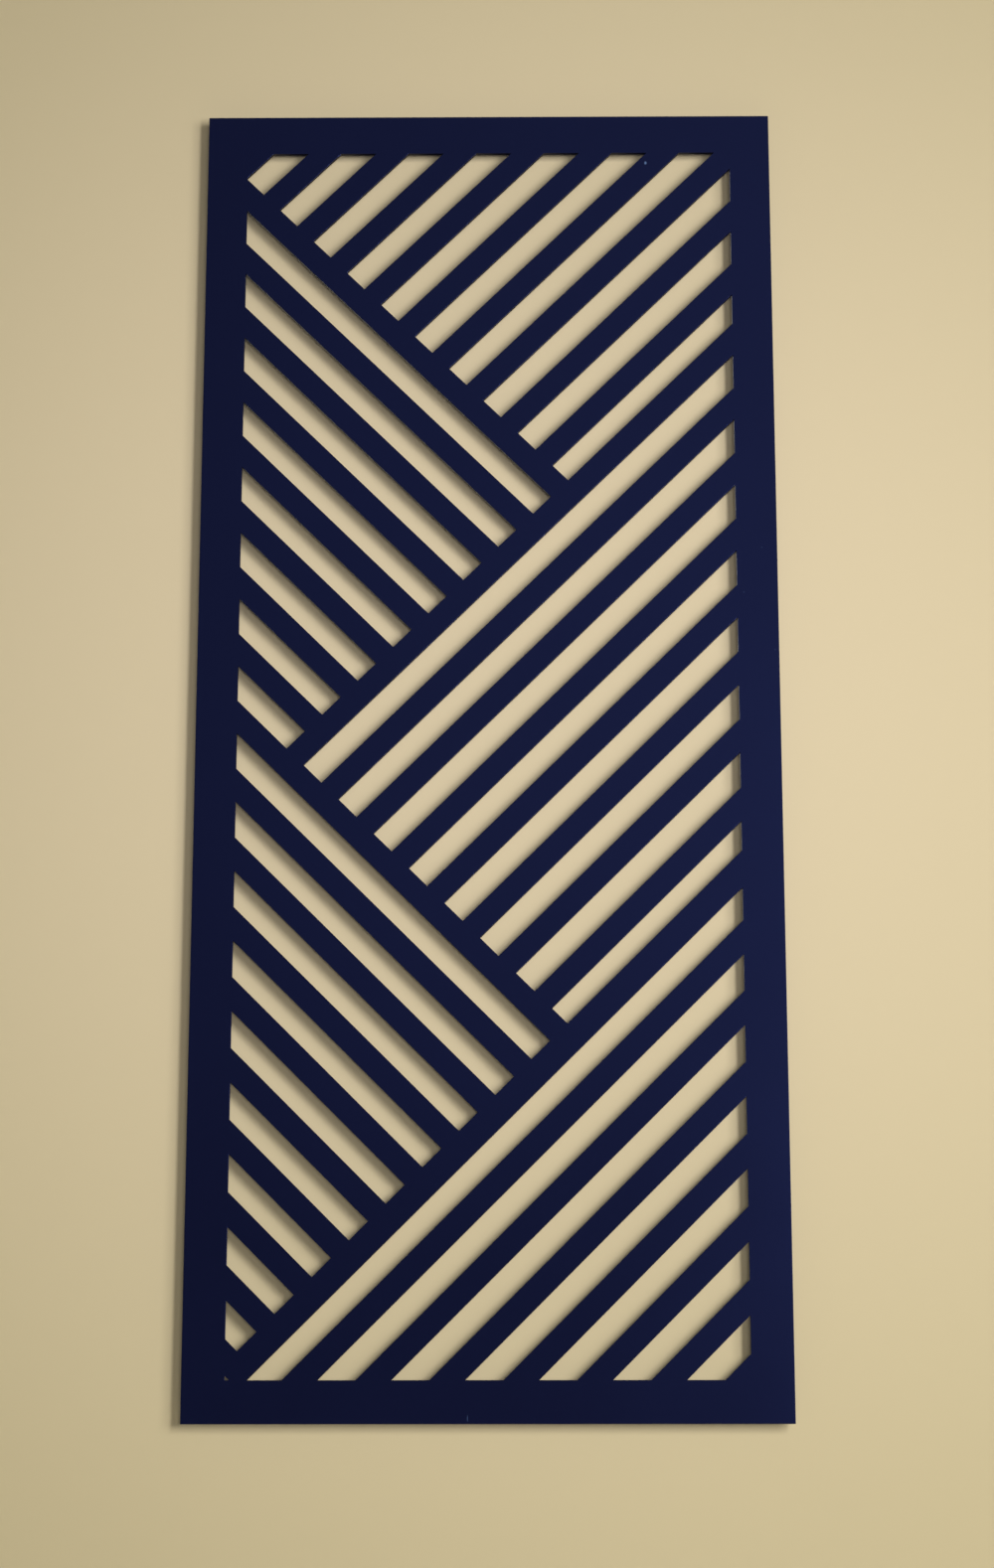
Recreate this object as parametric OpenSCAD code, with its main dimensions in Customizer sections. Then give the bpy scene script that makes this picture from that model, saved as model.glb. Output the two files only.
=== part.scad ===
// Laser cut metal wall screen. One flat sheet is cut with five fields of
// slanted slots, which rise and fall in turn between the four bars of a zigzag.
// Six fixings hide behind its border. Each is a threaded stud, welded to the
// back of the sheet, that is set in a hole in the wall, and a tube spacer round
// the stud that holds the sheet off the wall.
//
// Lengths are in millimetres. X runs right and Z up as the screen is looked at,
// and Y points into the wall. The origin is the middle of the fixings, on the
// face of the wall.

/* [Sheet] */
// Width of the sheet
sheet_w = 390; // [340:1:460]
// Height of the sheet
sheet_h = 900; // [840:1:1000]
// Thickness of the sheet
sheet_t = 3; // [1.5:0.5:6]
// Width of the plain border round the slots
border_w = 27.5; // [22:0.5:36]

/* [Slots and bars] */
// Width of a slot, square to it
slot_w = 17.25; // [12:0.25:22]
// Width of a bar between two slots, square to it
bar_w = 16; // [10:0.25:20]
// Narrowest slot worth cutting where a field ends part way through one
slot_least_w = 4; // [2:0.5:8]
// Sides of the nick where the last falling slot runs into the bottom left corner
nick = 3; // [1:0.5:6]

/* [Zigzag, square to each bar from the opening's top left corner] */
// First rising slot, in the top left corner
first_slot_at = 12.6; // [6:0.1:20]
// Upper edge of the first falling bar of the zigzag
fall_1_at = 13.5; // [6:0.1:30]
// Upper edge of the first rising bar of the zigzag
rise_1_at = 327; // [300:0.5:350]
// Upper edge of the second falling bar of the zigzag
fall_2_at = 279.8; // [260:0.1:300]
// Upper edge of the second rising bar of the zigzag
rise_2_at = 590; // [560:0.5:610]
// Width of the first falling bar of the zigzag
fall_1_w = 16.5; // [12:0.25:20]
// Width of the second rising bar of the zigzag, the widest of the four
rise_2_w = 17.5; // [12:0.25:20]

/* [Spacers] */
// Length of a spacer, which is the gap between the sheet and the wall
spacer_len = 12; // [6:0.5:30]
// Outside diameter of a spacer
spacer_d = 12; // [11:0.5:20]
// Chamfer round both ends of a spacer
spacer_chamfer = 0.5; // [0.2:0.1:0.8]

/* [Weld studs] */
// Diameter of a stud over its thread
thread_d = 5; // [4.5:0.5:6]
// Length of the thread, all of which goes into the wall
thread_len = 23; // [18:1:50]
// Diameter of the plain shank inside the spacer
shank_d = 4.5; // [3.5:0.1:4.5]
// Diameter of the flange that is welded to the sheet
flange_d = 6.5; // [6.5:0.1:7.5]
// Thickness of that flange
flange_t = 1; // [0.6:0.1:1.4]
// Chamfer on the tip of a stud
tip_chamfer = 0.8; // [0.4:0.1:1.2]

/* [Clearances] */
// Between a stud's thread and the bore of a spacer, on the radius
thread_to_spacer = 0.25; // [0.1:0.05:0.5]
// Round a flange in the recess of a spacer, on the radius and in depth
flange_clear = 0.5; // [0.3:0.1:0.8]

/* [Hidden] */
$fn = 48;

pitch = slot_w + bar_w;
opening_w = sheet_w - 2 * border_w;
opening_h = sheet_h - 2 * border_w;
// The opening's far corner and its bottom left corner, square to the bars
far_corner_at = (opening_w + opening_h) / sqrt(2);
low_corner_at = opening_h / sqrt(2);
// The fixings stand behind the middle of the border
fixing_x = (sheet_w - border_w) / 2;
fixing_z = (sheet_h - border_w) / 2;
sheet_back_y = -spacer_len;
stud_len = spacer_len + thread_len;

navy = "#161b3c";
zinc = "#b9bcc0";
black_nylon = "#222224";

// Where the slots of a field start, from its first edge to its last
function slot_starts(from, to) =
    [for (at = from; at < to - slot_least_w; at = at + pitch) at];

// A field's patch between two rising lines and two falling lines, each given
// by its distance from the opening's top left corner, square to the line
module patch(rise_from, rise_to, fall_from, fall_to) {
    rotate(-45)
        translate([rise_from, -fall_to])
            square([rise_to - rise_from, fall_to - fall_from]);
}

// Slots that rise to the right, up to a falling line
module rising_slots(from, to, fall_to, first_from = 0) {
    for (at = slot_starts(from, to))
        patch(max(at, first_from), min(at + slot_w, to), -opening_w, fall_to);
}

// Slots that fall to the right, up to a rising line
module falling_slots(from, to, rise_to) {
    for (at = slot_starts(from, to))
        patch(0, rise_to, at, min(at + slot_w, to));
}

// The slots of all five fields, with the opening's top left corner at the origin
module slots() {
    intersection() {
        translate([0, -opening_h]) square([opening_w, opening_h]);
        union() {
            rising_slots(first_slot_at, rise_1_at, fall_1_at);
            falling_slots(fall_1_at + fall_1_w, fall_2_at, rise_1_at);
            rising_slots(rise_1_at + bar_w, rise_2_at, fall_2_at);
            falling_slots(fall_2_at + bar_w, min(rise_2_at, low_corner_at), rise_2_at);
            rising_slots(rise_2_at + bar_w, far_corner_at, low_corner_at, rise_2_at + rise_2_w);
        }
    }
}

module screen_panel() {
    color(navy)
    translate([0, sheet_back_y, 0])
    rotate([90, 0, 0])
    linear_extrude(sheet_t)
    difference() {
        square([sheet_w, sheet_h], center = true);
        translate([-opening_w / 2, opening_h / 2]) slots();
        translate([-opening_w / 2, -opening_h / 2])
            polygon([[0, 0], [nick, 0], [0, nick]]);
    }
}

// Turns a profile of [radius, depth] points into a round piece that points into
// the wall from depth y, at a fixing on side -1 or 1 and in row -1, 0 or 1
module turned(side, row, y, profile) {
    translate([side * fixing_x, y, row * fixing_z])
        rotate([-90, 0, 0])
            rotate_extrude() polygon(profile);
}

module weld_stud(side, row) {
    r = thread_d / 2;
    shank_r = shank_d / 2;
    color(zinc)
    turned(side, row, sheet_back_y, [
        [0, 0], [flange_d / 2, 0], [flange_d / 2, flange_t], [shank_r, flange_t],
        [shank_r, spacer_len], [r, spacer_len],
        [r, stud_len - tip_chamfer], [r - tip_chamfer, stud_len], [0, stud_len]
    ]);
}

module spacer(side, row) {
    r = spacer_d / 2;
    bore_r = thread_d / 2 + thread_to_spacer;
    recess_r = flange_d / 2 + flange_clear;
    recess_t = flange_t + flange_clear;
    color(black_nylon)
    turned(side, row, sheet_back_y, [
        [recess_r, 0], [r - spacer_chamfer, 0], [r, spacer_chamfer],
        [r, spacer_len - spacer_chamfer], [r - spacer_chamfer, spacer_len],
        [bore_r, spacer_len], [bore_r, recess_t], [recess_r, recess_t]
    ]);
}

module weld_stud_top_left() weld_stud(-1, 1);
module weld_stud_top_right() weld_stud(1, 1);
module weld_stud_middle_left() weld_stud(-1, 0);
module weld_stud_middle_right() weld_stud(1, 0);
module weld_stud_bottom_left() weld_stud(-1, -1);
module weld_stud_bottom_right() weld_stud(1, -1);
module spacer_top_left() spacer(-1, 1);
module spacer_top_right() spacer(1, 1);
module spacer_middle_left() spacer(-1, 0);
module spacer_middle_right() spacer(1, 0);
module spacer_bottom_left() spacer(-1, -1);
module spacer_bottom_right() spacer(1, -1);

screen_panel();
weld_stud_top_left();
weld_stud_top_right();
weld_stud_middle_left();
weld_stud_middle_right();
weld_stud_bottom_left();
weld_stud_bottom_right();
spacer_top_left();
spacer_top_right();
spacer_middle_left();
spacer_middle_right();
spacer_bottom_left();
spacer_bottom_right();
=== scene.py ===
# %% [markdown]
# # A laser cut metal wall screen
#
# The real object is one flat steel sheet. A laser has cut five fields of
# slanted slots through it, and a dark navy powder coat covers it all round. It
# stands 12 mm off a wall on six fixings behind its border. Each fixing is a
# threaded stud, welded to the sheet's back, in a black tube spacer.
#
# The construction comes packed as a fixed frame. This script dresses it: it
# makes the coated sheet, the rolled threads and the turned spacers, gives
# each its finish, and lights them in front of a plain wall.

# %% Load the frame
import math

import bmesh
import bpy
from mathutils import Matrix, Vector
from mathutils.kdtree import KDTree


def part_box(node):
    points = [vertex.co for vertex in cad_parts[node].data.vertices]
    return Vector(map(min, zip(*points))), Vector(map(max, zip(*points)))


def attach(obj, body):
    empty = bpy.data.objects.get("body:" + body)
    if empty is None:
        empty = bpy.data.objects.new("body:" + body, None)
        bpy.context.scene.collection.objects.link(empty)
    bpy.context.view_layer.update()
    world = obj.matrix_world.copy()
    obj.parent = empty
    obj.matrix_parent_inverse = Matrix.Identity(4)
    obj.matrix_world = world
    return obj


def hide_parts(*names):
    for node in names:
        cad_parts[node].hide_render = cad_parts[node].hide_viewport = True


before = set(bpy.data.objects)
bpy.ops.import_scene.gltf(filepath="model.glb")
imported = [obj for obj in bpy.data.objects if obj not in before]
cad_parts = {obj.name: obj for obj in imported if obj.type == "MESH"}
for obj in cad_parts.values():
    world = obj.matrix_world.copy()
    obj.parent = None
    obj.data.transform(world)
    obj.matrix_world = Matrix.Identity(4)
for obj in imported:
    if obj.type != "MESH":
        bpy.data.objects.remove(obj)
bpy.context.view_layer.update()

MM = 0.001
print("CAD nodes:", len(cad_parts))

# %% [markdown]
# ## The camera
#
# The screen was photographed from low down through a long lens, so its sides
# lean in a little towards the top. A camera is matched to a photograph by its
# place, the point that it looks at and its focal length. Blender counts the
# focal length against the sensor's long side, which is the height of this
# upright picture.

# %% Camera
CAMERA_AT = Vector((24.8, -2237.8, -607.4)) * MM
CAMERA_AIM = Vector((5.9, -15.0, -31.3)) * MM
LENS_MM = 79.45
SENSOR_MM = 36.0


def aimed(place_at, aim_at):
    """The turn that points a camera or a lamp from one point at another."""
    return (aim_at - place_at).to_track_quat("-Z", "Y")


def add_object(name, data):
    """Puts new data into the scene as an object at the origin."""
    thing = bpy.data.objects.new(name, data)
    bpy.context.scene.collection.objects.link(thing)
    return thing


camera_data = bpy.data.cameras.new("camera")
camera_data.lens = LENS_MM
camera_data.sensor_width = SENSOR_MM
camera = add_object("camera", camera_data)
camera.location = CAMERA_AT
camera.rotation_mode = "QUATERNION"
camera.rotation_quaternion = aimed(CAMERA_AT, CAMERA_AIM)
bpy.context.scene.camera = camera
camera_tilt = (CAMERA_AIM - CAMERA_AT).angle((0, 1, 0))
print("camera looks up by", round(math.degrees(camera_tilt), 1), "degrees")

# %% [markdown]
# ## Nodes as sums
#
# Shaders and geometry trees are both graphs of nodes, and both use the same
# Math node. Wired by hand, a short formula becomes a page of links. So one
# small class wraps an output socket and turns +, -, * and / into Math nodes,
# and one function places any other node: it takes the node's type, then its
# settings, then the values or links of its sockets.

# %% One way to place any node
def place(tree, kind, settings=None, sockets=None):
    """Adds a node, makes its settings, fills its sockets and gives its first output."""
    node = tree.nodes.new(kind)
    for name, value in (settings or {}).items():
        setattr(node, name, value)
    for name, value in (sockets or {}).items():
        several = value if isinstance(value, list) else [value]
        for one in several:
            if isinstance(one, Signal):
                tree.links.new(one.socket, node.inputs[name])
            else:
                node.inputs[name].default_value = one
    return Signal(node.outputs[0])


def math_node(tree, operation, *values):
    """One Math node on numbers and signals."""
    return place(tree, "ShaderNodeMath", {"operation": operation}, dict(enumerate(values)))


# %% A socket that takes part in sums
class Signal:
    """An output socket. A sum on it adds a Math node to its tree."""

    def __init__(self, socket):
        self.socket = socket
        self.tree = socket.id_data

    def output(self, name):
        """Another output of the same node."""
        return Signal(self.socket.node.outputs[name])

    def math(self, operation, *others):
        """A Math node on this signal and others."""
        return math_node(self.tree, operation, self, *others)

    def __add__(self, other):
        return self.math("ADD", other)

    def __radd__(self, other):
        return math_node(self.tree, "ADD", other, self)

    def __sub__(self, other):
        return self.math("SUBTRACT", other)

    def __rsub__(self, other):
        return math_node(self.tree, "SUBTRACT", other, self)

    def __mul__(self, other):
        return self.math("MULTIPLY", other)

    def __rmul__(self, other):
        return math_node(self.tree, "MULTIPLY", other, self)

    def __truediv__(self, other):
        return self.math("DIVIDE", other)

    def __rtruediv__(self, other):
        return math_node(self.tree, "DIVIDE", other, self)


print("placed nodes take part in sums")

# %% [markdown]
# ## The sizes of the cut
#
# The pattern is a rule. A zigzag of four bars runs down the opening and
# parts it into five fields. In each field, slots of one width repeat at one
# pitch, and they rise and fall by turns from field to field. Every distance is
# counted square to a bar from the opening's top left corner: a rise distance
# runs down to the right and a fall distance runs down to the left. The
# outside sizes come from the frame.

# %% Sizes of the sheet and of the zigzag
sheet_low, sheet_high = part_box("screen_panel")
SHEET_W = sheet_high.x - sheet_low.x
SHEET_H = sheet_high.z - sheet_low.z
SHEET_T = sheet_high.y - sheet_low.y
BORDER_W = 27.5 * MM
SLOT_W = 17.25 * MM
BAR_W = 16.0 * MM
LEAST_SLOT = 4.0 * MM
NICK = 3.0 * MM
FIRST_SLOT_AT = 12.6 * MM
FALL_1_AT = 13.5 * MM
FALL_1_W = 16.5 * MM
RISE_1_AT = 327.0 * MM
FALL_2_AT = 279.8 * MM
RISE_2_AT = 590.0 * MM
RISE_2_W = 17.5 * MM

OPENING_W = SHEET_W - 2 * BORDER_W
OPENING_H = SHEET_H - 2 * BORDER_W
FAR_CORNER_AT = (OPENING_W + OPENING_H) / math.sqrt(2)
LOW_CORNER_AT = OPENING_H / math.sqrt(2)
print("opening in mm:", round(OPENING_W / MM, 2), "x", round(OPENING_H / MM, 2))

# %% [markdown]
# ## A tree for one field of slots
#
# What repeats is best made by Geometry Nodes. One small tree makes a field: a
# Mesh Line puts a point at each slot, a long block stands on each point, and
# Mesh Boolean keeps only what lies inside the field's own patch. The same
# tree serves all five fields, because its limits and its turn are inputs.

# %% Start a tree with named inputs
def start_tree(name, inputs):
    """A new geometry tree, with a named input for each size, and a way to reach them."""
    tree = bpy.data.node_groups.new(name, "GeometryNodeTree")
    tree.interface.new_socket(name="Geometry", in_out="OUTPUT", socket_type="NodeSocketGeometry")
    for label, kind in inputs:
        tree.interface.new_socket(name=label, in_out="INPUT", socket_type=f"NodeSocket{kind}")
    given = tree.nodes.new("NodeGroupInput")
    return tree, {label: Signal(given.outputs[label]) for label, kind in inputs}


def end_tree(tree, geometry):
    """Sends the finished geometry out of a tree."""
    leaving = tree.nodes.new("NodeGroupOutput")
    tree.links.new(geometry.socket, leaving.inputs["Geometry"])


def vector(tree, x=0.0, y=0.0, z=0.0):
    """Three numbers or signals as one vector."""
    return place(tree, "ShaderNodeCombineXYZ", sockets={"X": x, "Y": y, "Z": z})


def block(tree, size, centre, turn=0.0):
    """A block of a size at a place, turned about the sheet's own normal."""
    made = place(tree, "GeometryNodeMeshCube", sockets={"Size": vector(tree, *size)})
    turned = vector(tree, 0.0, turn, 0.0)
    moves = {"Geometry": made, "Translation": vector(tree, *centre), "Rotation": turned}
    return place(tree, "GeometryNodeTransform", sockets=moves)


def common(tree, first, second):
    """What two solids have in common."""
    how = {"operation": "INTERSECT", "solver": "EXACT"}
    return place(tree, "GeometryNodeMeshBoolean", how, {"Mesh 2": [first, second]})


# %% The tree for one field
FIELD_SIZES = [
    "First Slot", "Last Slot", "Field From", "Field To", "Side From", "Side To",
    "Turn", "Slot Width", "Bar Width", "Least Slot", "Depth", "Corner X", "Corner Z",
]
field_tree, size = start_tree("slot_field", [(label, "Float") for label in FIELD_SIZES])

pitch = size["Slot Width"] + size["Bar Width"]
row_length = size["Last Slot"] - size["First Slot"]
slots_that_fit = ((row_length - size["Least Slot"]) / pitch).math("CEIL")
first_middle = size["First Slot"] + size["Slot Width"] * 0.5
side_length = size["Side To"] - size["Side From"]
side_middle = (size["Side From"] + size["Side To"]) * 0.5
# A cutter reaches past what it cuts by this share of its size
OVERLAP = 1.2

slot_points = place(field_tree, "GeometryNodeMeshLine", sockets={
    "Count": slots_that_fit,
    "Start Location": vector(field_tree, first_middle, 0.0, side_middle),
    "Offset": vector(field_tree, pitch),
})
slot_size = vector(field_tree, size["Slot Width"], size["Depth"] * OVERLAP, side_length * OVERLAP)
one_slot = place(field_tree, "GeometryNodeMeshCube", sockets={"Size": slot_size})
slot_row = place(field_tree, "GeometryNodeInstanceOnPoints", sockets={
    "Points": slot_points, "Instance": one_slot,
})
slot_row = place(field_tree, "GeometryNodeRealizeInstances", sockets={"Geometry": slot_row})
field_length = size["Field To"] - size["Field From"]
field_middle = (size["Field From"] + size["Field To"]) * 0.5
patch_size = (field_length, size["Depth"], side_length)
patch = block(field_tree, patch_size, (field_middle, 0.0, side_middle))
field_slots = place(field_tree, "GeometryNodeTransform", sockets={
    "Geometry": common(field_tree, slot_row, patch),
    "Translation": vector(field_tree, size["Corner X"], 0.0, size["Corner Z"]),
    "Rotation": vector(field_tree, 0.0, size["Turn"], 0.0),
})
end_tree(field_tree, field_slots)
print("slot_field has", len(field_tree.nodes), "nodes")

# %% [markdown]
# ## The tree for the whole sheet
#
# A laser cutter follows a drawing and lets the cut pieces drop out. The tree
# does the same: it lays out the slots of the five fields, trims them to the
# opening, and takes them out of a plain sheet with one Mesh Boolean. That
# keeps every wall flat and every corner sharp, as a laser does. The border,
# the bars and the zigzag stay one piece, because nothing ever joined them.

# %% The tree for the sheet
SHEET_SIZES = {
    "Sheet Width": SHEET_W,
    "Sheet Height": SHEET_H,
    "Thickness": SHEET_T,
    "Middle Y": (sheet_low.y + sheet_high.y) / 2,
    "Border": BORDER_W,
    "Slot Width": SLOT_W,
    "Bar Width": BAR_W,
    "Least Slot": LEAST_SLOT,
    "Nick": NICK,
    "First Slot At": FIRST_SLOT_AT,
    "Fall 1 At": FALL_1_AT,
    "Fall 1 Width": FALL_1_W,
    "Rise 1 At": RISE_1_AT,
    "Fall 2 At": FALL_2_AT,
    "Rise 2 At": RISE_2_AT,
    "Rise 2 Width": RISE_2_W,
    "Far Corner At": FAR_CORNER_AT,
    "Low Corner At": LOW_CORNER_AT,
}
sheet_inputs = [(label, "Float") for label in SHEET_SIZES] + [("Material", "Material")]
sheet_tree, cut = start_tree("laser_cut_sheet", sheet_inputs)

opening_w = cut["Sheet Width"] - cut["Border"] * 2
opening_h = cut["Sheet Height"] - cut["Border"] * 2
corner_x = opening_w * -0.5
corner_z = opening_h * 0.5
CUTTER_IN_SHEETS = 4
cut_depth = cut["Thickness"] * CUTTER_IN_SHEETS
RISING_TURN = math.radians(45)
FALLING_TURN = math.radians(135)
ON_ITS_CORNER = math.radians(45)
CENTRE = (0.0, 0.0, 0.0)


def field(first, last, side_from, side_to, turn, begins=None):
    """The slots of one field, from the first slot's edge to the last's, between two sides."""
    limits = {label: cut[label] for label in ("Slot Width", "Bar Width", "Least Slot")}
    limits.update({
        "First Slot": first,
        "Last Slot": last,
        "Field From": first if begins is None else begins,
        "Field To": last,
        "Side From": side_from,
        "Side To": side_to,
        "Turn": turn,
        "Depth": cut_depth,
        "Corner X": corner_x,
        "Corner Z": corner_z,
    })
    return place(sheet_tree, "GeometryNodeGroup", {"node_tree": field_tree}, limits)


bar = cut["Bar Width"]
fall_1 = cut["Fall 1 At"]
rise_1 = cut["Rise 1 At"]
fall_2 = cut["Fall 2 At"]
rise_2 = cut["Rise 2 At"]
low_corner = cut["Low Corner At"]
last_fall = rise_2.math("MINIMUM", low_corner)
fields = [
    field(cut["First Slot At"], rise_1, fall_1 * -1, opening_w, RISING_TURN),
    field(fall_1 + cut["Fall 1 Width"], fall_2, 0.0, rise_1, FALLING_TURN),
    field(rise_1 + bar, rise_2, fall_2 * -1, opening_w, RISING_TURN),
    field(fall_2 + bar, last_fall, 0.0, rise_2, FALLING_TURN),
    field(rise_2 + bar, cut["Far Corner At"], low_corner * -1, opening_w, RISING_TURN,
          begins=rise_2 + cut["Rise 2 Width"]),
]
nick_side = cut["Nick"] * math.sqrt(2)
nick_size = (nick_side, cut_depth, nick_side)
nick = block(sheet_tree, nick_size, (corner_x, 0.0, corner_z * -1), ON_ITS_CORNER)
all_slots = place(sheet_tree, "GeometryNodeJoinGeometry", sockets={"Geometry": fields + [nick]})
opening = block(sheet_tree, (opening_w, cut_depth * OVERLAP, opening_h), CENTRE)
drop_outs = common(sheet_tree, all_slots, opening)

plain_size = (cut["Sheet Width"], cut["Thickness"], cut["Sheet Height"])
plain_sheet = block(sheet_tree, plain_size, CENTRE)
take_away = {"operation": "DIFFERENCE", "solver": "EXACT"}
cut_sheet = place(sheet_tree, "GeometryNodeMeshBoolean", take_away, {
    "Mesh 1": plain_sheet, "Mesh 2": drop_outs,
})
in_place = place(sheet_tree, "GeometryNodeTransform", sockets={
    "Geometry": cut_sheet, "Translation": vector(sheet_tree, 0.0, cut["Middle Y"], 0.0),
})
realized = place(sheet_tree, "GeometryNodeRealizeInstances", sockets={"Geometry": in_place})
end_tree(sheet_tree, place(sheet_tree, "GeometryNodeSetMaterial", sockets={
    "Geometry": realized, "Material": cut["Material"],
}))
print("laser_cut_sheet has", len(sheet_tree.nodes), "nodes")

# %% [markdown]
# ## Navy powder coat
#
# Powder coat is sprayed on dry, and it melts to one even skin in an oven. The
# skin is smooth but not flat: it keeps a fine ripple, called orange peel, that
# only shows in reflections. So the ripple goes to the bump, and colour and
# roughness vary only a little. A few dust specks and one short scratch,
# as the real sheet has, keep it from looking new.

# %% Materials in general
def start_material(name):
    """A new material and its tree, with the shader that Blender starts it with."""
    made = bpy.data.materials.new(name)
    made.use_nodes = True
    shader = made.node_tree.nodes["Principled BSDF"]
    return made, made.node_tree, shader


def set_shader(shader, **values):
    """Gives a shader's sockets their values or links. Underscores stand for spaces."""
    for label, value in values.items():
        target = shader.inputs[label.replace("_", " ")]
        if isinstance(value, Signal):
            shader.id_data.links.new(value.socket, target)
        else:
            target.default_value = value


def object_place(tree, stretch=(1.0, 1.0, 1.0)):
    """Where a point is on its own piece, in metres, stretched along an axis if asked."""
    where = place(tree, "ShaderNodeTexCoord").output("Object")
    return place(tree, "ShaderNodeMapping", sockets={"Vector": where, "Scale": stretch})


def noise(tree, where, per_metre, detail=2.0, roughness=0.5):
    """Soft noise from 0 to 1, with so many lumps in a metre."""
    sizes = {"Vector": where, "Scale": per_metre, "Detail": detail, "Roughness": roughness}
    return place(tree, "ShaderNodeTexNoise", sockets=sizes)


def blend_colours(tree, share, first, second):
    """A colour between two colours."""
    how = {"data_type": "RGBA", "blend_type": "MIX"}
    mixed = place(tree, "ShaderNodeMix", how, {"Factor": share, 6: first, 7: second})
    return mixed.output(2)


def bump(tree, height, strength, depth):
    """The normal of a surface with small heights on it, no more than a depth in metres."""
    sizes = {"Height": height, "Strength": strength, "Distance": depth}
    return place(tree, "ShaderNodeBump", sockets=sizes)


def within(tree, value, low, high, how="LINEAR"):
    """0 at low, 1 at high, and no less or more beyond them."""
    sizes = {"Value": value, "From Min": low, "From Max": high}
    return place(tree, "ShaderNodeMapRange", {"clamp": True, "interpolation_type": how}, sizes)


# %% Navy powder coat
COAT_DEEP = (0.0046, 0.0059, 0.0225, 1.0)
COAT_LIGHT = (0.0050, 0.0065, 0.0250, 1.0)
GLOSS_TINT = (0.19, 0.27, 1.0, 1.0)
PEEL_PER_METRE = 620.0
PEEL_DEPTH = 0.06 * MM
PEEL_STRENGTH = 0.25
CLOUDS_PER_METRE = 7.0
CLOUD_RANGE = (0.3, 0.7)

coat, coat_tree, coat_shader = start_material("navy_powder_coat")
on_sheet = object_place(coat_tree)
clouds = noise(coat_tree, on_sheet, CLOUDS_PER_METRE, detail=3.0)
peel = noise(coat_tree, on_sheet, PEEL_PER_METRE, detail=1.5)
cloudy = within(coat_tree, clouds, *CLOUD_RANGE)
coat_colour = blend_colours(coat_tree, cloudy, COAT_DEEP, COAT_LIGHT)
ripple = bump(coat_tree, peel, PEEL_STRENGTH, PEEL_DEPTH)

# %% Specks and a scratch on the coat
MARK_COLOUR = (0.10, 0.16, 0.30, 1.0)
MARK_DEPTH = 0.5 * MM
# A mark is at its full strength in this share of its size
MARK_CORE = 0.4
COAT_ROUGHNESS = 0.15
ROUGHER_BY_CLOUDS = 0.04
ROUGHER_BY_MARKS = 0.3
MARKS_MM = [
    # across, up, half width, half height, strength
    (109.1, 414.8, 1.0, 1.5, 1.0),
    (184.6, 133.4, 0.5, 0.5, 0.25),
    (171.9, 101.8, 0.5, 0.6, 0.25),
    (192.2, 61.3, 0.5, 0.5, 0.2),
    (-12.8, -446.5, 0.35, 2.6, 0.35),
]


def mark(across, up, half_width, half_height, strength):
    """An oval mark on the sheet's face, strongest in its middle."""
    offset = {0: on_sheet, 1: (across * MM, sheet_low.y, up * MM)}
    offset = place(coat_tree, "ShaderNodeVectorMath", {"operation": "SUBTRACT"}, offset)
    sizes = {0: offset, 1: (half_width * MM, MARK_DEPTH, half_height * MM)}
    share = place(coat_tree, "ShaderNodeVectorMath", {"operation": "DIVIDE"}, sizes)
    share = place(coat_tree, "ShaderNodeVectorMath", {"operation": "LENGTH"}, {0: share})
    return within(coat_tree, share.output("Value"), 1.0, MARK_CORE) * strength


marks = sum((mark(*sizes) for sizes in MARKS_MM), 0.0)
set_shader(
    coat_shader,
    Base_Color=blend_colours(coat_tree, marks, coat_colour, MARK_COLOUR),
    Roughness=COAT_ROUGHNESS + clouds * ROUGHER_BY_CLOUDS + marks * ROUGHER_BY_MARKS,
    Normal=ripple,
    Specular_Tint=GLOSS_TINT,
)
print("marks on the face:", len(MARKS_MM))

# %% [markdown]
# ## Thin coat and painted shade on the cut walls
#
# Inside a narrow slot the charged powder lands thinly, because the slot's
# edges draw it away, so the slots' walls are duller than the face. They are
# also painted much darker than the face: painted shade, standing in for the
# dark shade along the slots' edges. A mask finds them: their normals have no
# part along Y, which is the way through the sheet, and they lie inside the
# border. The mask is the factor of a Mix Shader between the two skins.

# %% Thin coat and painted shade on the cut walls
# Painted shade: the slot walls get a near-black colour that stands in for the shade along the
# slots' edges, over a duller thin coat.
SHADED_THIN_COAT = (0.0030, 0.0022, 0.0060, 1.0)
SHADED_THIN_COAT_SHARE = 0.8
THIN_ROUGHNESS = 0.6
THIN_SPECULAR = 0.1
# The part of a normal along Y at which the mask starts, and at which it is full
SIDEWAYS_FROM = 0.35
SIDEWAYS_BY = 0.15

coat_normal = place(coat_tree, "ShaderNodeTexCoord").output("Normal")
facing = place(coat_tree, "ShaderNodeSeparateXYZ", sockets={"Vector": coat_normal})
facing_through = facing.output("Y").math("ABSOLUTE")
cut_wall_shade_mask = within(coat_tree, facing_through, SIDEWAYS_FROM, SIDEWAYS_BY)
at_coat = place(coat_tree, "ShaderNodeSeparateXYZ", sockets={"Vector": on_sheet})
inside_edge = at_coat.output("X").math("ABSOLUTE").math("LESS_THAN", (SHEET_W - BORDER_W) / 2)
inside_end = at_coat.output("Z").math("ABSOLUTE").math("LESS_THAN", (SHEET_H - BORDER_W) / 2)
cut_wall_shade_mask = cut_wall_shade_mask * inside_edge * inside_end
shaded_thin_coat_shader = coat_tree.nodes.new("ShaderNodeBsdfPrincipled")
set_shader(
    shaded_thin_coat_shader,
    Base_Color=SHADED_THIN_COAT,
    Roughness=THIN_ROUGHNESS,
    Specular_IOR_Level=THIN_SPECULAR,
    Normal=ripple,
)
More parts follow.
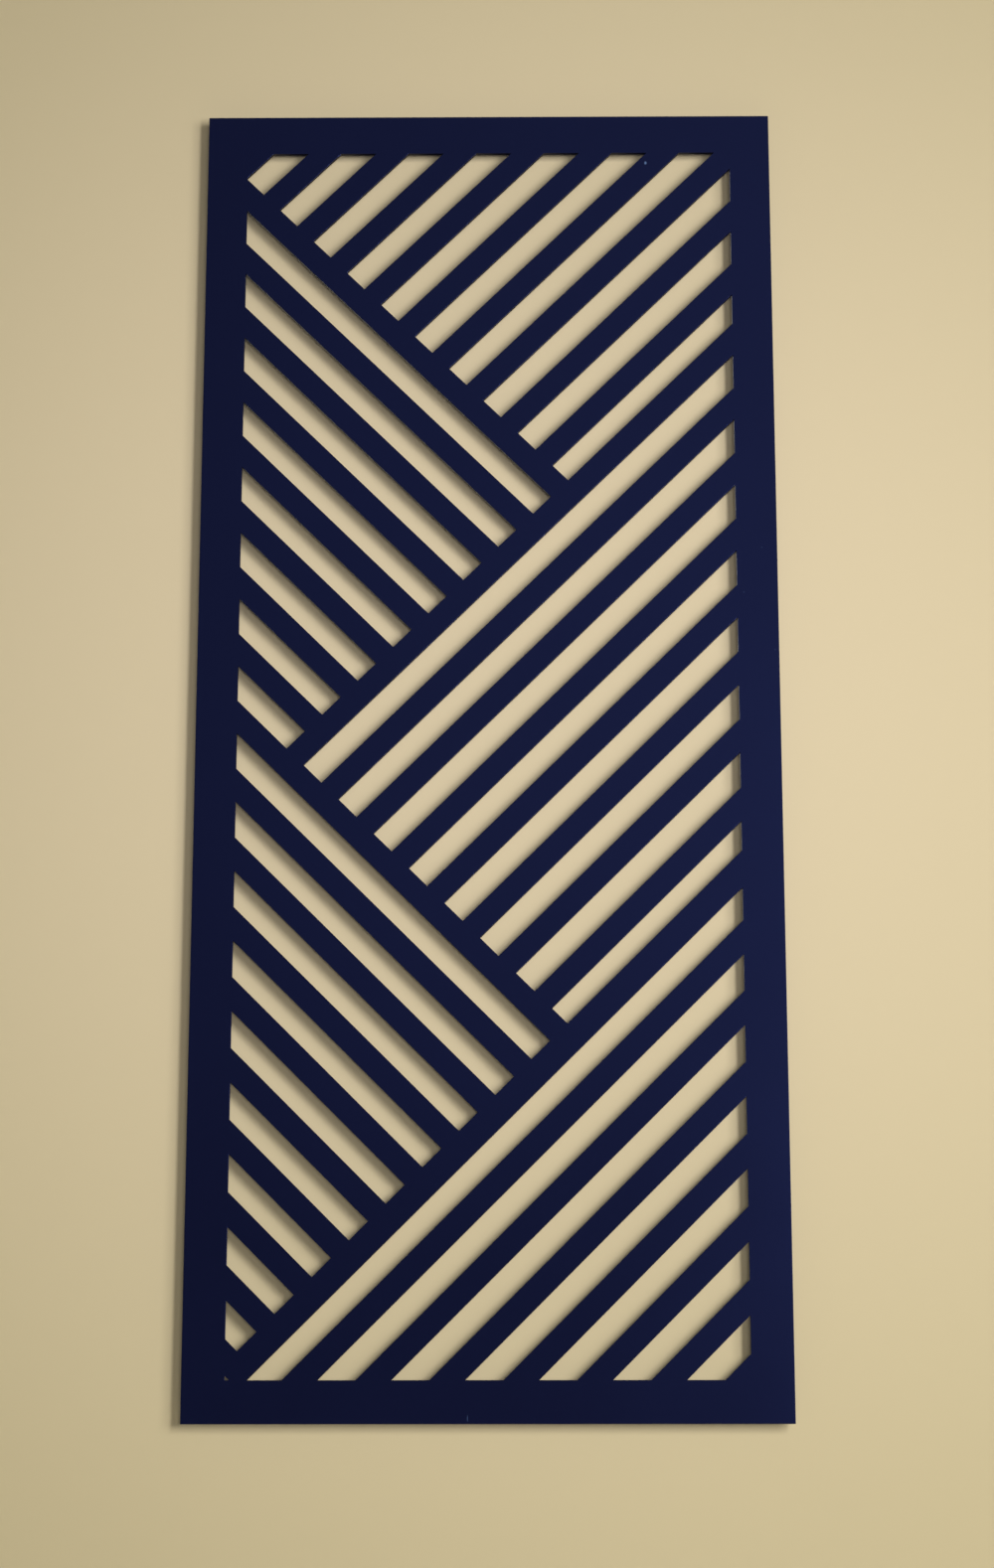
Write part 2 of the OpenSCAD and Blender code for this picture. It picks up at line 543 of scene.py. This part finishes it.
# The mask mixes the painted shade and the duller thin coat onto the cut walls.
coat_skin = place(coat_tree, "ShaderNodeMixShader", sockets={
    0: cut_wall_shade_mask * SHADED_THIN_COAT_SHARE,
    1: Signal(coat_shader.outputs[0]),
    2: Signal(shaded_thin_coat_shader.outputs[0]),
})
coat_tree.links.new(coat_skin.socket, coat_tree.nodes["Material Output"].inputs["Surface"])
print("navy_powder_coat has", len(coat_tree.nodes), "nodes")

# %% [markdown]
# ## The coated sheet
#
# The tree above is a modifier on an empty mesh. Its inputs are set by each
# socket's identifier before it first runs, and the result is then kept as a
# plain mesh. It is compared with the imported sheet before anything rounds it:
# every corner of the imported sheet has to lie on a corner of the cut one.

# %% Run a tree once and keep its mesh
def grow(name, tree, inputs, mesh=None):
    """Runs a geometry tree on a mesh, once, and gives an object with the plain result."""
    holder = add_object(name + "_holder", mesh or bpy.data.meshes.new(name + "_start"))
    modifier = holder.modifiers.new(name, "NODES")
    modifier.node_group = tree
    for socket in tree.interface.items_tree:
        if socket.in_out == "INPUT" and socket.name in inputs:
            modifier[socket.identifier] = inputs[socket.name]
    depsgraph = bpy.context.evaluated_depsgraph_get()
    result = bpy.data.meshes.new_from_object(holder.evaluated_get(depsgraph))
    bpy.data.objects.remove(holder)
    result.name = name
    return add_object(name, result)


def volume_of(mesh):
    """A closed mesh's volume in cubic metres."""
    shape = bmesh.new()
    shape.from_mesh(mesh)
    volume = shape.calc_volume(signed=True)
    shape.free()
    return volume


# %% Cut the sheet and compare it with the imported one
panel = grow("coated_screen_panel", sheet_tree, {**SHEET_SIZES, "Material": coat})
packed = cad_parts["screen_panel"].data
cut_corners = KDTree(len(panel.data.vertices))
for index, vertex in enumerate(panel.data.vertices):
    cut_corners.insert(vertex.co, index)
cut_corners.balance()
furthest = max(cut_corners.find(vertex.co)[2] for vertex in packed.vertices)
print("corners of the cut sheet:", len(panel.data.vertices))
print("packed corner furthest from a cut one, in mm:", round(furthest / MM, 4))
print("volume against the packed sheet:", round(volume_of(panel.data) / volume_of(packed), 6))

# %% [markdown]
# ## Rounded edges
#
# Melted powder pulls back from a sharp edge and leaves it softly round, about
# 0.4 mm on a sheet like this. A Bevel modifier with an angle limit rounds
# just those edges. Hardened normals keep the wide faces flat in the light.

# %% Round the coat's edges
EDGE_ROUND = 0.4 * MM
EDGE_STEPS = 3
SHARP_FROM = math.radians(30)


def round_edges(piece, width, steps):
    """A live bevel on a piece's sharp edges, with its flat faces kept flat in the light."""
    piece.data.shade_smooth()
    bevel = piece.modifiers.new("rounded_edges", "BEVEL")
    bevel.width = width
    bevel.segments = steps
    bevel.limit_method = "ANGLE"
    bevel.angle_limit = SHARP_FROM
    bevel.harden_normals = True


round_edges(panel, EDGE_ROUND, EDGE_STEPS)
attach(panel, "root")
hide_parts("screen_panel")
rounded = panel.evaluated_get(bpy.context.evaluated_depsgraph_get()).data
print("faces with rounded edges:", len(rounded.polygons))

# %% [markdown]
# ## Zinc plate and black nylon
#
# Bright zinc is a thin metal plate with a faint blue and straw tint from its
# passivation, and a soft, cloudy gloss. Nylon spacers are turned from black
# rod, so they are dull, with the fine rings that the tool leaves round them.

# %% Zinc plate
ZINC_BLUE = (0.56, 0.60, 0.66, 1.0)
ZINC_STRAW = (0.66, 0.62, 0.53, 1.0)
TINT_PER_METRE = 160.0
TINT_RANGE = (0.35, 0.65)
GRAIN_PER_METRE = 2600.0
GRAIN_DEPTH = 0.02 * MM
GRAIN_STRENGTH = 0.2
ZINC_ROUGHNESS = 0.26
ROUGHER_BY_GRAIN = 0.16

zinc, zinc_tree, zinc_shader = start_material("zinc_plate")
on_stud = object_place(zinc_tree)
tint = within(zinc_tree, noise(zinc_tree, on_stud, TINT_PER_METRE, detail=3.0), *TINT_RANGE)
grain = noise(zinc_tree, on_stud, GRAIN_PER_METRE, detail=2.0)
set_shader(
    zinc_shader,
    Base_Color=blend_colours(zinc_tree, tint, ZINC_BLUE, ZINC_STRAW),
    Metallic=1.0,
    Roughness=ZINC_ROUGHNESS + grain * ROUGHER_BY_GRAIN,
    Normal=bump(zinc_tree, grain, GRAIN_STRENGTH, GRAIN_DEPTH),
)

# %% Black nylon
NYLON_DARK = (0.010, 0.010, 0.011, 1.0)
NYLON_LIGHT = (0.020, 0.020, 0.022, 1.0)
NYLON_PER_METRE = 900.0
RINGS_STRETCH = (0.02, 4.0, 0.02)
RING_DEPTH = 0.05 * MM
RING_STRENGTH = 0.5
NYLON_ROUGHNESS = 0.5
ROUGHER_BY_MOTTLE = 0.15

nylon, nylon_tree, nylon_shader = start_material("black_nylon")
on_spacer = object_place(nylon_tree)
mottle = noise(nylon_tree, on_spacer, NYLON_PER_METRE, detail=3.0)
along_spacer = object_place(nylon_tree, RINGS_STRETCH)
tool_rings = noise(nylon_tree, along_spacer, NYLON_PER_METRE, detail=1.0)
set_shader(
    nylon_shader,
    Base_Color=blend_colours(nylon_tree, mottle, NYLON_DARK, NYLON_LIGHT),
    Roughness=NYLON_ROUGHNESS + mottle * ROUGHER_BY_MOTTLE,
    Normal=bump(nylon_tree, tool_rings, RING_STRENGTH, RING_DEPTH),
)
print("zinc_plate and black_nylon are ready")

# %% [markdown]
# ## Turned blanks
#
# Studs and spacers are round, so a profile spun about its axis makes either.
# The profile is a list of radius and depth, and it closes on the axis or on
# itself. The axis points into the wall.

# %% Spin a profile
def turned_mesh(name, profile, centre, sides, closed_ring):
    """A closed mesh of a profile of (radius, depth) points, spun about a centre's Y axis."""
    shape = bmesh.new()
    rings = []
    for radius, depth in profile:
        at = Vector((centre.x, centre.y + depth, centre.z))
        if radius == 0:
            rings.append([shape.verts.new(at)] * sides)
            continue
        ring = []
        for step in range(sides):
            angle = 2 * math.pi * step / sides
            spoke = Vector((math.cos(angle), 0, math.sin(angle))) * radius
            ring.append(shape.verts.new(at + spoke))
        rings.append(ring)
    pairs = list(zip(rings, rings[1:]))
    if closed_ring:
        pairs.append((rings[-1], rings[0]))
    for near, far in pairs:
        for step in range(sides):
            after = (step + 1) % sides
            corners = [near[step], near[after], far[after], far[step]]
            shape.faces.new(list(dict.fromkeys(corners)))
    bmesh.ops.recalc_face_normals(shape, faces=shape.faces)
    mesh = bpy.data.meshes.new(name)
    shape.to_mesh(mesh)
    shape.free()
    mesh.shade_smooth()
    return mesh


# %% [markdown]
# ## Rolled threads
#
# A stud's thread isn't cut: hardened dies roll the plain blank, and press a
# helical groove into it. The tree does just that. For each point of the blank
# it works out how far along the helix the point lies, and moves it in towards
# the axis by the groove's depth there. The groove fades out over its first turn
# and a half, where the dies lift off.

# %% The tree that rolls a thread
CREST_SHARE = 0.125
ROOT_SHARE = 0.25
FADES_OVER_TURNS = 1.5
NEVER_ZERO = 1e-6
THREAD_SIZES = ["Centre X", "Centre Z", "Starts At", "Pitch", "Outside Radius", "Groove Depth"]
thread_inputs = [("Blank", "Geometry")]
thread_inputs += [(label, "Float") for label in THREAD_SIZES]
thread_inputs += [("Material", "Material")]
thread_tree, roll = start_tree("rolled_thread", thread_inputs)

at_point = place(thread_tree, "ShaderNodeSeparateXYZ", sockets={
    "Vector": place(thread_tree, "GeometryNodeInputPosition"),
})
from_axis_x = at_point.output("X") - roll["Centre X"]
from_axis_z = at_point.output("Z") - roll["Centre Z"]
along = at_point.output("Y") - roll["Starts At"]
radius = (from_axis_x * from_axis_x + from_axis_z * from_axis_z).math("SQRT")
turns_round = from_axis_z.math("ARCTAN2", from_axis_x) / (2 * math.pi)
turns = along / roll["Pitch"] - turns_round
across = turns.math("FRACT")
# 0 at the middle of a crest and 1 at the middle of a groove
steepness = 1.0 - (across * 2 - 1.0).math("ABSOLUTE")
groove = within(thread_tree, steepness, CREST_SHARE, 1.0 - ROOT_SHARE)
fade = within(thread_tree, along / roll["Pitch"], 0.0, FADES_OVER_TURNS)
rolled = roll["Outside Radius"] - groove * fade * roll["Groove Depth"]
rolled = rolled.math("MINIMUM", radius)
on_thread = along.math("GREATER_THAN", 0.0)
shrink = 1.0 + on_thread * (rolled / radius.math("MAXIMUM", NEVER_ZERO) - 1.0)
new_x = roll["Centre X"] + from_axis_x * shrink
new_z = roll["Centre Z"] + from_axis_z * shrink
rolled_blank = place(thread_tree, "GeometryNodeSetPosition", sockets={
    "Geometry": roll["Blank"],
    "Position": vector(thread_tree, new_x, at_point.output("Y"), new_z),
})
rolled_blank = place(thread_tree, "GeometryNodeRealizeInstances", sockets={
    "Geometry": rolled_blank,
})
end_tree(thread_tree, place(thread_tree, "GeometryNodeSetMaterial", sockets={
    "Geometry": rolled_blank, "Material": roll["Material"],
}))
print("rolled_thread has", len(thread_tree.nodes), "nodes")

# %% Sizes of a stud and of a spacer
THREAD_R = 2.5 * MM
THREAD_PITCH = 0.8 * MM
GROOVE_DEPTH = 0.49 * MM
SHANK_R = 2.25 * MM
FLANGE_R = 3.25 * MM
FLANGE_T = 1.0 * MM
TIP_CHAMFER = 0.8 * MM
TIP_STEPS = 8
RINGS_PER_PITCH = 8
STUD_SIDES = 36
FIXINGS = [f"{row}_{side}" for row in ("top", "middle", "bottom") for side in ("left", "right")]

# %% Studs
for fixing in FIXINGS:
    low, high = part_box(f"weld_stud_{fixing}")
    centre = Vector(((low.x + high.x) / 2, low.y, (low.z + high.z) / 2))
    length = high.y - low.y
    thread_from = -low.y
    ring_gap = THREAD_PITCH / RINGS_PER_PITCH
    rings = int((length - TIP_CHAMFER - thread_from) / ring_gap)
    profile = [(0, 0), (FLANGE_R, 0), (FLANGE_R, FLANGE_T)]
    profile += [(SHANK_R, FLANGE_T), (SHANK_R, thread_from)]
    profile += [(THREAD_R, thread_from + ring * ring_gap) for ring in range(rings)]
    profile += [(THREAD_R, length - TIP_CHAMFER)]
    for step in range(1, TIP_STEPS + 1):
        narrower_by = TIP_CHAMFER * step / TIP_STEPS
        from_end = TIP_CHAMFER * (TIP_STEPS - step) / TIP_STEPS
        profile.append((THREAD_R - narrower_by, length - from_end))
    profile.append((0, length))
    blank = turned_mesh(f"stud_blank_{fixing}", profile, centre, STUD_SIDES, closed_ring=False)
    thread = {
        "Centre X": centre.x,
        "Centre Z": centre.z,
        "Starts At": 0.0,
        "Pitch": THREAD_PITCH,
        "Outside Radius": THREAD_R,
        "Groove Depth": GROOVE_DEPTH,
        "Material": zinc,
    }
    stud = grow(f"threaded_stud_{fixing}", thread_tree, thread, blank)
    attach(stud, "root")
    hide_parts(f"weld_stud_{fixing}")
print("a stud has", len(stud.data.polygons), "faces")
print("a stud in mm: y from", round(low.y / MM, 1), "to", round(high.y / MM, 1))

# %% [markdown]
# ## Spacers
#
# Each spacer is a tube with a bore for the stud and a wider recess at the
# sheet's end, which clears the stud's flange. It is spun from its profile, and
# its edges are eased by the same bevel as the sheet's.

# %% Spacers
SPACER_CHAMFER = 0.5 * MM
THREAD_TO_SPACER = 0.25 * MM
FLANGE_CLEAR = 0.5 * MM
BORE_R = THREAD_R + THREAD_TO_SPACER
RECESS_R = FLANGE_R + FLANGE_CLEAR
RECESS_T = FLANGE_T + FLANGE_CLEAR
SPACER_SIDES = 64
SPACER_ROUND = 0.15 * MM
SPACER_STEPS = 2

for fixing in FIXINGS:
    low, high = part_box(f"spacer_{fixing}")
    centre = Vector(((low.x + high.x) / 2, low.y, (low.z + high.z) / 2))
    outside_r = (high.x - low.x) / 2
    length = high.y - low.y
    profile = [
        (RECESS_R, 0), (outside_r - SPACER_CHAMFER, 0), (outside_r, SPACER_CHAMFER),
        (outside_r, length - SPACER_CHAMFER), (outside_r - SPACER_CHAMFER, length),
        (BORE_R, length), (BORE_R, RECESS_T), (RECESS_R, RECESS_T),
    ]
    tube = turned_mesh("spacer", profile, centre, SPACER_SIDES, closed_ring=True)
    spacer = add_object(f"turned_spacer_{fixing}", tube)
    spacer.data.materials.append(nylon)
    round_edges(spacer, SPACER_ROUND, SPACER_STEPS)
    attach(spacer, "root")
    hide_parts(f"spacer_{fixing}")
print("a spacer in mm:", round(outside_r * 2 / MM, 1), "across,", round(length / MM, 1), "long")

# %% [markdown]
# ## Wall and floor
#
# The screen hangs on a plain cream wall, and a pale floor lies below. The
# wall is painted palest behind its middle and darker further out: a painted
# pool of light and its fall-off. Both are only a stage. Seen from behind, or by
# a lamp, the wall lets light through, so that the fixings can be looked at from
# the back as well. The lamps are aimed at the screen and leave the floor dim, so
# it has a faint glow that the camera and mirrors see, and that lights nothing.

# %% One-sided planes
STAGE_HALF = 6.0
STAGE_ROUGHNESS = 0.9
STAGE_SPECULAR = 0.2
FLOOR_Z = -1.9
FLOOR_COLOUR = (0.62, 0.60, 0.56, 1.0)
FLOOR_GLOW = 0.5
NO_LIGHT = (0.0, 0.0, 0.0, 1.0)


def stage_plane(name, corners, passes_lamps):
    """A plane that nobody sees from its back, and that lets lamplight through if asked."""
    mesh = bpy.data.meshes.new(name)
    mesh.from_pydata(corners, [], [tuple(range(len(corners)))])
    plane = add_object(name, mesh)
    material, tree, shader = start_material(name)
    set_shader(shader, Roughness=STAGE_ROUGHNESS, Specular_IOR_Level=STAGE_SPECULAR)
    rays = place(tree, "ShaderNodeLightPath")
    from_back = place(tree, "ShaderNodeNewGeometry").output("Backfacing")
    through = from_back * rays.output("Is Camera Ray")
    if passes_lamps:
        through = through.math("MAXIMUM", rays.output("Is Shadow Ray"))
    clear = place(tree, "ShaderNodeBsdfTransparent")
    mixed = place(tree, "ShaderNodeMixShader", sockets={
        0: through, 1: Signal(shader.outputs[0]), 2: clear,
    })
    tree.links.new(mixed.socket, tree.nodes["Material Output"].inputs["Surface"])
    mesh.materials.append(material)
    return plane, tree, shader


# %% Wall and floor
# Painted light: the wall's colour is palest at one point behind the screen and darker further
# out, a painted pool of light and its fall-off.
WALL_LIT_MIDDLE = (0.723, 0.603, 0.399, 1.0)
WALL_DIMMER_AROUND = (0.501, 0.424, 0.236, 1.0)
PAINTED_LIGHT_AT = (0.013, 0.0, 0.102)
FADES_OVER = 1.0

wall_corners = [
    (-STAGE_HALF, 0, FLOOR_Z),
    (STAGE_HALF, 0, FLOOR_Z),
    (STAGE_HALF, 0, STAGE_HALF),
    (-STAGE_HALF, 0, STAGE_HALF),
]
wall, wall_tree, wall_shader = stage_plane("wall", wall_corners, passes_lamps=True)
ends = {0: object_place(wall_tree), 1: PAINTED_LIGHT_AT}
away = place(wall_tree, "ShaderNodeVectorMath", {"operation": "DISTANCE"}, ends).output("Value")
painted_falloff = within(wall_tree, away, 0.0, FADES_OVER, how="SMOOTHSTEP")
set_shader(wall_shader, Base_Color=blend_colours(wall_tree, painted_falloff, WALL_LIT_MIDDLE, WALL_DIMMER_AROUND))

floor_corners = [
    (-STAGE_HALF, -STAGE_HALF, FLOOR_Z),
    (STAGE_HALF, -STAGE_HALF, FLOOR_Z),
    (STAGE_HALF, STAGE_HALF, FLOOR_Z),
    (-STAGE_HALF, STAGE_HALF, FLOOR_Z),
]
floor, floor_tree, floor_shader = stage_plane("floor", floor_corners, passes_lamps=False)
set_shader(floor_shader, Base_Color=FLOOR_COLOUR)
rays = place(floor_tree, "ShaderNodeLightPath")
sight = rays.output("Is Camera Ray").math("MAXIMUM", rays.output("Is Glossy Ray"))
sight = sight.math("MAXIMUM", rays.output("Is Transmission Ray"))
set_shader(
    floor_shader,
    Emission_Color=blend_colours(floor_tree, sight, NO_LIGHT, FLOOR_COLOUR),
    Emission_Strength=FLOOR_GLOW,
)
print("wall faces", tuple(round(v) for v in wall.data.polygons[0].normal))
print("floor faces", tuple(round(v) for v in floor.data.polygons[0].normal))

# %% [markdown]
# ## Light
#
# The shadows on the wall tell where the light comes from. Each upright edge
# throws a strip of shadow to the left, dark up to a crisp line and then fading
# out: so the key lamp is narrow and stands to the right, with a wide, weaker
# lamp beyond it. The strips aren't black, so a third lamp stands near the
# camera. The level edges' shadows are soft, because the lamps are tall. The
# world fills in the rest, and one more lamp behind the wall is there for looks
# at the back.

# %% Lamps
SCREEN_MIDDLE = Vector(CENTRE)


def soft_lamp(name, at, width, height, power):
    """A soft lamp that no camera sees, aimed at the middle of the screen."""
    data = bpy.data.lights.new(name, "AREA")
    data.shape = "RECTANGLE"
    data.size = width
    data.size_y = height
    data.energy = power
    lamp = add_object(name, data)
    lamp.location = at
    lamp.rotation_mode = "QUATERNION"
    lamp.rotation_quaternion = aimed(Vector(at), SCREEN_MIDDLE)
    lamp.visible_camera = False
    return lamp


key = soft_lamp("key_lamp", (0.92, -2.2, -0.09), width=0.34, height=1.05, power=31.0)
side = soft_lamp("side_lamp", (1.6, -2.2, -0.1), width=0.65, height=1.0, power=17.3)
front = soft_lamp("front_lamp", (0.2, -3.0, -0.68), width=0.7, height=0.45, power=20.0)
front.visible_glossy = False
back = soft_lamp("back_lamp", (-0.8, 3.5, 1.4), width=1.5, height=1.5, power=60.0)
print("lamps:", [lamp.name for lamp in (key, side, front, back)])

# %% [markdown]
# ## What the coat mirrors
#
# The world is one even fill for everything but gloss. In the front half, gloss
# sees a dim room with a paler stretch above, brighter to the right, as the
# coat on the real sheet does.

# %% World
FILL_LEVEL = 0.08
ROOM_EDGE = (0.06, 0.27)
ROOM_LEVEL = 0.49
ROOM_TO_RIGHT = 2.21
ROOM_TO_TOP = -1.81
DIMMER_ABOVE = 0.25
WHITE = (1.0, 1.0, 1.0, 1.0)

world = bpy.data.worlds.new("studio")
world.use_nodes = True
bpy.context.scene.world = world
sky = world.node_tree
background = sky.nodes["Background"]
rays = place(sky, "ShaderNodeLightPath")
seen = rays.output("Is Camera Ray").math("MAXIMUM", rays.output("Is Transmission Ray"))
looking = place(sky, "ShaderNodeTexCoord").output("Generated")
direction = place(sky, "ShaderNodeSeparateXYZ", sockets={"Vector": looking})
behind_wall = direction.output("Y").math("GREATER_THAN", 0.0)
height = direction.output("Z")
to_right = direction.output("X")
high_up = (height - DIMMER_ABOVE).math("MAXIMUM", 0.0)
room = within(sky, height, *ROOM_EDGE, how="SMOOTHSTEP")
room = room * (ROOM_LEVEL + to_right * ROOM_TO_RIGHT) * (1.0 + high_up * ROOM_TO_TOP)
room = room.math("MAXIMUM", 0.0).math("MINIMUM", 1.0)
mirrored = behind_wall + (1.0 - behind_wall) * room
level = FILL_LEVEL + seen * (1.0 - FILL_LEVEL)
level = level + rays.output("Is Glossy Ray") * (mirrored - FILL_LEVEL)
sky.links.new(level.socket, background.inputs["Strength"])
background.inputs["Color"].default_value = WHITE
print("fill level", FILL_LEVEL)

# %% [markdown]
# ## Finish
#
# The view transform is Standard, so a colour comes out as it is written.

bpy.context.scene.view_settings.view_transform = "Standard"
